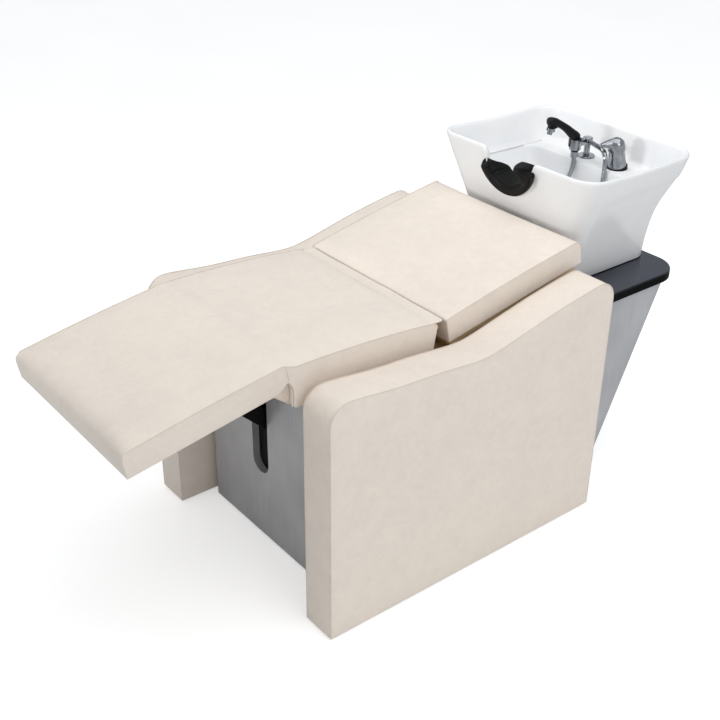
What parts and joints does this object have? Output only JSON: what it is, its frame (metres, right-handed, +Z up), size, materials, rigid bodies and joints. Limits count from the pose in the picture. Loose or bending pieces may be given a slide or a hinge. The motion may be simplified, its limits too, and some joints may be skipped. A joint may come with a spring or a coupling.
{
  "type": "hair washing bed",
  "caption": "Upholstered hair washing bed with a fold-down leg rest, padded side panels and a ceramic basin with mixer, shower handset and neck rest.",
  "frame": {"origin": "on the floor, under the middle of the whole bed's length and width", "axes": "+Z up; +Y from the feet to the basin; +X to the user's left when lying on the bed, the side of the mixer lever"},
  "size_m": [0.7, 1.5486, 0.8372],
  "materials": {
    "leatherette": "ivory grained leatherette over foam",
    "panel_board": "raw board box",
    "laminate": "silver grey laminate on board",
    "plywood": "sanded birch plywood",
    "gloss_shelf": "black gloss laminate",
    "zinc_steel": "zinc plated",
    "black_steel": "black powder coat",
    "black_plastic": "moulded, satin",
    "white_plastic": "moulded",
    "glazed_ceramic": "white glaze",
    "black_rubber": "moulded, soft",
    "chrome": "polished chrome plate",
    "cartridge": "moulded"
  },
  "bodies": {
    "root": {"side_panel_cover_right": "leatherette", "side_panel_cover_left": "leatherette", "seat_cushion": "leatherette", "backrest_cushion": "leatherette", "side_panel_core_right": "panel_board", "side_panel_core_left": "panel_board", "body_side_right": "laminate", "body_side_left": "laminate", "front_panel": "laminate", "rear_panel": "laminate", "side_panel_battens": "plywood", "floor_board": "plywood", "seat_deck": "plywood", "seat_risers": "plywood", "seat_rails": "plywood", "seat_board": "plywood", "backrest_wedges": "plywood", "backrest_board": "plywood", "shelf_board": "gloss_shelf", "side_panel_bolts_right": "zinc_steel", "side_panel_bolts_left": "zinc_steel", "hinge_leaf_seat": "zinc_steel", "hinge_pin": "zinc_steel", "slot_liner": "black_steel", "lifting_arm_tube": "black_steel", "lifting_arm_bracket": "black_steel", "floor_glides": "black_plastic", "lifting_arm_motor": "black_plastic", "collar_insert": "black_plastic", "waste_nut": "black_plastic", "waste_trap": "white_plastic", "basin": "glazed_ceramic", "basin_gasket": "black_rubber", "neck_rest": "black_rubber", "mixer_gasket": "black_rubber", "drain_flange": "chrome", "mixer_body": "chrome", "mixer_shank": "chrome", "hose_post": "chrome", "holder_head": "chrome", "hose_swan_neck": "chrome", "shower_hose": "chrome"},
    "legrest": {"legrest_board": "plywood", "legrest_cushion": "leatherette", "hinge_leaf_legrest": "zinc_steel", "legrest_wear_strip": "zinc_steel"},
    "lifting_arm": {"lifting_arm_rod": "black_steel", "roller_pin": "zinc_steel"},
    "roller": {"push_roller": "black_plastic"},
    "strainer": {"hair_strainer": "chrome"},
    "mixer_stem": {"mixer_cartridge": "cartridge"},
    "mixer_lever": {"mixer_lever": "chrome"},
    "handset": {"handset_handle": "black_plastic", "spray_nozzle": "chrome", "hose_nut": "chrome"}
  },
  "joints": [
    {"name": "legrest_hinge", "type": "hinge", "parent": "root", "child": "legrest", "pos_m": [0, -0.40777, 0.562], "axis": [1, 0, 0], "range_deg": [0, 75]},
    {"name": "lifting_arm_slide", "type": "slide", "parent": "root", "child": "lifting_arm", "axis": [0, 0.7193, -0.6947], "range_m": [0, 0.14549]},
    {"name": "roller_spin", "type": "hinge", "parent": "lifting_arm", "child": "roller", "pos_m": [-0.038, -0.51014, 0.52763], "axis": [1, 0, 0], "continuous": true},
    {"name": "strainer_lift", "type": "slide", "parent": "root", "child": "strainer", "axis": [0, 0, 1], "range_m": [0, 0.04]},
    {"name": "mixer_swing", "type": "hinge", "parent": "root", "child": "mixer_stem", "pos_m": [0.062, 0.69502, 0.76941], "axis": [0, -0.1908, 0.9816], "range_deg": [-40, 40]},
    {"name": "mixer_lift", "type": "hinge", "parent": "mixer_stem", "child": "mixer_lever", "pos_m": [0.07087, 0.7137, 0.77304], "axis": [-0.9063, 0.4149, 0.0806], "range_deg": [0, 20]},
    {"name": "handset_lift", "type": "slide", "parent": "root", "child": "handset", "axis": [0, 0, 1], "range_m": [0, 0.07]}
  ],
  "couplings": [
    {"joint": "lifting_arm_slide", "follows": "legrest_hinge", "m_per_rad": 0.11099}
  ]
}
